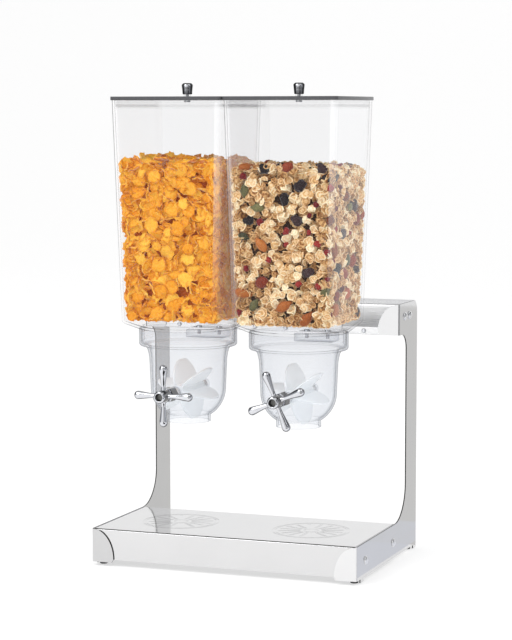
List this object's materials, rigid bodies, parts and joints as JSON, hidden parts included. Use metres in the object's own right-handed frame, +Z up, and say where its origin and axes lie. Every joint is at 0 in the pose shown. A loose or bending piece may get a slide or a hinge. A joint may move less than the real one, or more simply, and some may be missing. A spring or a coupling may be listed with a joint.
{
  "type": "cereal dispenser",
  "caption": "Countertop dry-food dispenser: clear tapered canisters on a folded steel stand, portioned by paddle wheels with cross-shaped knobs.",
  "frame": {"origin": "on the table, under the middle of the whole object", "axes": "+X to the right seen from the front, +Y to the back, +Z up; the knobs face -Y"},
  "size_m": [0.356, 0.271, 0.604],
  "materials": {
    "steel": "polished sheet",
    "chrome": "bright",
    "zinc": "plain",
    "clear_plastic": "clear, glossy",
    "lid_plastic": "smoky, glossy",
    "white_plastic": "smooth",
    "silicone": "soft, smooth",
    "rubber": "matt"
  },
  "bodies": {
    "stand": {"base_plate": "steel", "left_side_panel": "steel", "right_side_panel": "steel", "crossbar": "steel", "base_screws": "chrome", "base_nuts": "zinc", "crossbar_screws": "chrome", "crossbar_nuts": "zinc", "hanger_screws": "chrome", "hanger_nuts": "zinc", "cup_screws": "chrome", "feet": "rubber", "left_hanger": "steel", "left_cup": "clear_plastic", "left_front_bush": "white_plastic", "left_rear_bush": "white_plastic", "right_hanger": "steel", "right_cup": "clear_plastic", "right_front_bush": "white_plastic", "right_rear_bush": "white_plastic"},
    "left_rotor": {"left_paddle_wheel": "silicone", "left_shaft": "zinc", "left_sleeve": "chrome", "left_handle": "chrome", "left_handle_screw": "zinc"},
    "left_hopper": {"left_canister": "clear_plastic"},
    "left_lid_set": {"left_lid": "lid_plastic", "left_lid_seal": "silicone", "left_lid_spacer": "clear_plastic", "left_lid_knob": "chrome", "left_lid_screw": "zinc"},
    "right_rotor": {"right_paddle_wheel": "silicone", "right_shaft": "zinc", "right_sleeve": "chrome", "right_handle": "chrome", "right_handle_screw": "zinc"},
    "right_hopper": {"right_canister": "clear_plastic"},
    "right_lid_set": {"right_lid": "lid_plastic", "right_lid_seal": "silicone", "right_lid_spacer": "clear_plastic", "right_lid_knob": "chrome", "right_lid_screw": "zinc"}
  },
  "joints": [
    {"name": "left_handle_turn", "type": "hinge", "parent": "stand", "child": "left_rotor", "pos_m": [-0.074, -0.0395, 0.22], "axis": [0, 1, 0], "continuous": true},
    {"name": "left_canister_lift", "type": "slide", "parent": "stand", "child": "left_hopper", "axis": [0, 0, 1], "range_m": [0, 0.05]},
    {"name": "left_lid_lift", "type": "slide", "parent": "left_hopper", "child": "left_lid_set", "axis": [0, 0, 1], "range_m": [0, 0.1]},
    {"name": "right_handle_turn", "type": "hinge", "parent": "stand", "child": "right_rotor", "pos_m": [0.074, -0.0395, 0.22], "axis": [0, 1, 0], "continuous": true},
    {"name": "right_canister_lift", "type": "slide", "parent": "stand", "child": "right_hopper", "axis": [0, 0, 1], "range_m": [0, 0.05]},
    {"name": "right_lid_lift", "type": "slide", "parent": "right_hopper", "child": "right_lid_set", "axis": [0, 0, 1], "range_m": [0, 0.1]}
  ]
}
